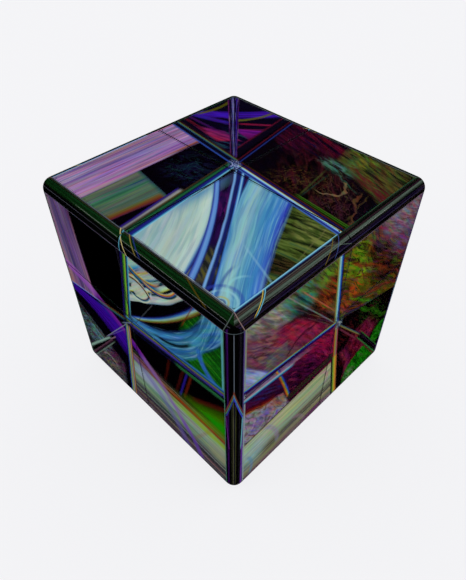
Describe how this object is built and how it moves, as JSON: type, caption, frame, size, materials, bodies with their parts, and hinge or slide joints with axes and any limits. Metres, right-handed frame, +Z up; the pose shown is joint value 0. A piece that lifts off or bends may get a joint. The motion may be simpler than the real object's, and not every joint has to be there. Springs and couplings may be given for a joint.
{
  "type": "mirror block cube",
  "caption": "Turning puzzle cube cut off centre into unequal blocks, with rounded edges, dark iridescent glass tiles and a sprung core.",
  "frame": {"origin": "middle of the cube's underside", "axes": "+Z up, -Y the front face, +X the right face; the layers' cuts cross off centre at the core"},
  "size_m": [0.05, 0.05, 0.05],
  "materials": {
    "casing": "polished",
    "base": "moulded satin",
    "glass_tile": "polished, iridescent",
    "inner_plastic": "moulded satin",
    "core_plastic": "moulded satin",
    "washer": "stamped",
    "screw_steel": "zinc plated",
    "spring_steel": "drawn wire"
  },
  "bodies": {
    "lower_layer": {"bottom_front_left_casing": "casing", "bottom_front_right_casing": "casing", "bottom_back_left_casing": "casing", "bottom_back_right_casing": "casing", "bottom_front_left_base": "base", "bottom_front_right_base": "base", "bottom_back_left_base": "base", "bottom_back_right_base": "base", "bottom_front_left_tile_left": "glass_tile", "bottom_front_left_tile_front": "glass_tile", "bottom_front_left_tile_bottom": "glass_tile", "bottom_front_right_tile_right": "glass_tile", "bottom_front_right_tile_front": "glass_tile", "bottom_front_right_tile_bottom": "glass_tile", "bottom_back_left_tile_left": "glass_tile", "bottom_back_left_tile_back": "glass_tile", "bottom_back_left_tile_bottom": "glass_tile", "bottom_back_right_tile_right": "glass_tile", "bottom_back_right_tile_back": "glass_tile", "bottom_back_right_tile_bottom": "glass_tile", "bottom_centre": "inner_plastic", "bottom_inner_edges": "inner_plastic"},
    "bottom_washer": {"bottom_washer": "washer"},
    "core": {"core_ball": "core_plastic", "tension_screws": "screw_steel", "tension_springs": "spring_steel", "middle_inner_edges": "inner_plastic"},
    "top_washer": {"top_washer": "washer"},
    "upper_layer": {"top_front_left_casing": "casing", "top_front_right_casing": "casing", "top_back_left_casing": "casing", "top_back_right_casing": "casing", "top_front_left_base": "base", "top_front_right_base": "base", "top_back_left_base": "base", "top_back_right_base": "base", "top_front_left_tile_left": "glass_tile", "top_front_left_tile_front": "glass_tile", "top_front_left_tile_top": "glass_tile", "top_front_right_tile_right": "glass_tile", "top_front_right_tile_front": "glass_tile", "top_front_right_tile_top": "glass_tile", "top_back_left_tile_left": "glass_tile", "top_back_left_tile_back": "glass_tile", "top_back_left_tile_top": "glass_tile", "top_back_right_tile_right": "glass_tile", "top_back_right_tile_back": "glass_tile", "top_back_right_tile_top": "glass_tile", "top_centre": "inner_plastic", "top_inner_edges": "inner_plastic"},
    "left_centre": {"left_centre": "inner_plastic", "left_washer": "washer"},
    "right_centre": {"right_centre": "inner_plastic", "right_washer": "washer"},
    "front_centre": {"front_centre": "inner_plastic", "front_washer": "washer"},
    "back_centre": {"back_centre": "inner_plastic", "back_washer": "washer"}
  },
  "joints": [
    {"name": "bottom_washer_spin", "type": "hinge", "parent": "lower_layer", "child": "bottom_washer", "pos_m": [-0.0015, 0.0015, 0.031], "axis": [0, 0, 1], "continuous": true},
    {"name": "lower_spring_travel", "type": "slide", "parent": "bottom_washer", "child": "core", "axis": [0, 0, 1], "range_m": [0, 0.0003], "stiffness_N_per_m": 1100, "deforming": ["tension_springs"]},
    {"name": "upper_spring_travel", "type": "slide", "parent": "core", "child": "top_washer", "axis": [0, 0, 1], "range_m": [0, 0.0003], "stiffness_N_per_m": 1100, "deforming": ["tension_springs"]},
    {"name": "upper_layer_turn", "type": "hinge", "parent": "top_washer", "child": "upper_layer", "pos_m": [-0.0015, 0.0015, 0.031], "axis": [0, 0, 1], "continuous": true},
    {"name": "left_spring_travel", "type": "slide", "parent": "core", "child": "left_centre", "axis": [-1, 0, 0], "range_m": [0, 0.0003], "stiffness_N_per_m": 1100, "deforming": ["tension_springs"]},
    {"name": "right_spring_travel", "type": "slide", "parent": "core", "child": "right_centre", "axis": [1, 0, 0], "range_m": [0, 0.0003], "stiffness_N_per_m": 1100, "deforming": ["tension_springs"]},
    {"name": "front_spring_travel", "type": "slide", "parent": "core", "child": "front_centre", "axis": [0, -1, 0], "range_m": [0, 0.0003], "stiffness_N_per_m": 1100, "deforming": ["tension_springs"]},
    {"name": "back_spring_travel", "type": "slide", "parent": "core", "child": "back_centre", "axis": [0, 1, 0], "range_m": [0, 0.0003], "stiffness_N_per_m": 1100, "deforming": ["tension_springs"]}
  ]
}
